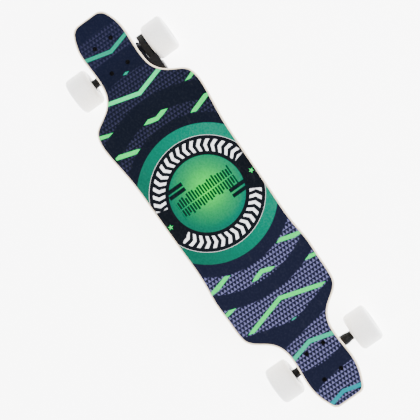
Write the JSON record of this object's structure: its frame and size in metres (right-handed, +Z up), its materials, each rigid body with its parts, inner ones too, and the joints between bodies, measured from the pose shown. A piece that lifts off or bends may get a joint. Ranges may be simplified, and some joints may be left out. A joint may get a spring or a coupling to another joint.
{
  "type": "electric skateboard",
  "caption": "Longboard with cut-away ends, sprung trucks, soft urethane wheels, and a belt-driven rear wheel with its motor, battery and controller under the deck.",
  "frame": {"origin": "on the ground, midway between the trucks, under the middle of the deck", "axes": "+X towards the front wheels, +Y to the left of travel, +Z up"},
  "size_m": [0.9661, 0.2526, 0.1369],
  "materials": {
    "deck_wood": "cream stained maple rim",
    "print_film": "printed top sheet under clear grit",
    "black_cast": "black powder coat on cast aluminium",
    "black_plastic": "fine moulded texture",
    "rubber_black": "moulded rubber",
    "steel_zinc": "zinc plated",
    "steel_black": "black oxide",
    "steel_bright": "ground bearing steel",
    "white_urethane": "cast urethane, satin",
    "teal_urethane": "cast urethane bushing",
    "core_black": "glass-filled nylon",
    "alu_anodised": "black anodised",
    "alu_bright": "extruded, satin",
    "cell_wrap": "plastic wrapped cell",
    "board_green": "solder masked board",
    "copper_core": "lacquered laminations and windings",
    "brass_contact": "plated contact",
    "cable_sleeve": "braided sleeve"
  },
  "bodies": {
    "board": {"battery_board": "board_green", "battery_case": "black_plastic", "battery_cells": "cell_wrap", "button_bezel": "alu_bright", "case_gaskets": "rubber_black", "case_screws": "steel_black", "charge_socket": "brass_contact", "controller_board": "board_green", "controller_case": "black_plastic", "cup_washers": "steel_zinc", "deck": "deck_wood", "deck_bolts": "steel_black", "deck_nuts": "steel_zinc", "front_baseplate": "black_cast", "front_bushings": "teal_urethane", "heat_sink": "alu_anodised", "kingpin_nuts": "steel_zinc", "kingpins": "steel_zinc", "link_cable": "cable_sleeve", "motor_cable": "cable_sleeve", "pivot_cups": "black_plastic", "printed_sheet": "print_film", "rear_baseplate": "black_cast", "rear_bushings": "teal_urethane", "risers": "rubber_black"},
    "front_left_wheel": {"front_left_tyre": "white_urethane", "front_left_core": "core_black", "front_left_outer_races": "steel_bright"},
    "front_right_wheel": {"front_right_tyre": "white_urethane", "front_right_core": "core_black", "front_right_outer_races": "steel_bright"},
    "rear_left_wheel": {"rear_left_tyre": "white_urethane", "rear_left_core": "core_black", "rear_left_outer_races": "steel_bright", "wheel_pulley": "black_plastic"},
    "rear_right_wheel": {"rear_right_tyre": "white_urethane", "rear_right_core": "core_black", "rear_right_outer_races": "steel_bright"},
    "front_truck": {"front_hanger": "black_cast", "front_axle": "steel_zinc", "front_axle_nuts": "steel_zinc", "front_inner_races": "steel_bright", "front_axle_spacers": "steel_zinc"},
    "rear_truck": {"rear_hanger": "black_cast", "rear_axle": "steel_zinc", "rear_axle_nuts": "steel_zinc", "rear_inner_races": "steel_bright", "rear_axle_spacers": "steel_zinc", "motor_mount": "alu_anodised", "drive_screws": "steel_black", "motor_housing": "alu_anodised", "motor_stator": "copper_core", "drive_belt": "rubber_black", "belt_cover": "black_plastic"},
    "motor_turning": {"motor_rotor": "steel_zinc", "motor_shaft": "steel_bright", "motor_pulley": "alu_bright"},
    "button": {"power_button": "steel_zinc"},
    "socket_cap": {"charge_cap": "rubber_black"}
  },
  "joints": [
    {"name": "front_steering", "type": "hinge", "parent": "board", "child": "front_truck", "pos_m": [0.38832, 0, 0.06537], "axis": [0.7193, 0, 0.6947], "range_deg": [-15, 15], "stiffness_Nm_per_rad": 45, "deforming": ["front_bushings"]},
    {"name": "rear_steering", "type": "hinge", "parent": "board", "child": "rear_truck", "pos_m": [-0.38832, 0, 0.06537], "axis": [-0.7193, 0, 0.6947], "range_deg": [-15, 15], "stiffness_Nm_per_rad": 45, "deforming": ["rear_bushings", "motor_cable"]},
    {"name": "front_left_spin", "type": "hinge", "parent": "front_truck", "child": "front_left_wheel", "pos_m": [0.378, 0.10025, 0.0415], "axis": [0, 1, 0], "continuous": true},
    {"name": "front_right_spin", "type": "hinge", "parent": "front_truck", "child": "front_right_wheel", "pos_m": [0.378, -0.10025, 0.0415], "axis": [0, 1, 0], "continuous": true},
    {"name": "rear_left_spin", "type": "hinge", "parent": "rear_truck", "child": "rear_left_wheel", "pos_m": [-0.378, 0.10025, 0.0415], "axis": [0, 1, 0], "continuous": true},
    {"name": "rear_right_spin", "type": "hinge", "parent": "rear_truck", "child": "rear_right_wheel", "pos_m": [-0.378, -0.10025, 0.0415], "axis": [0, 1, 0], "continuous": true},
    {"name": "motor_spin", "type": "hinge", "parent": "rear_truck", "child": "motor_turning", "pos_m": [-0.30249, 0.049, 0.05481], "axis": [0, 1, 0], "continuous": true},
    {"name": "power_press", "type": "slide", "parent": "board", "child": "button", "axis": [0, -1, 0], "range_m": [0, 0.0015], "stiffness_N_per_m": 600, "springref_m": -0.001},
    {"name": "cap_swing", "type": "hinge", "parent": "board", "child": "socket_cap", "pos_m": [0.22, 0.0705, 0.1114], "axis": [1, 0, 0], "range_deg": [0, 85]}
  ],
  "couplings": [
    {"joint": "motor_spin", "follows": "rear_left_spin", "ratio": 2.25}
  ]
}
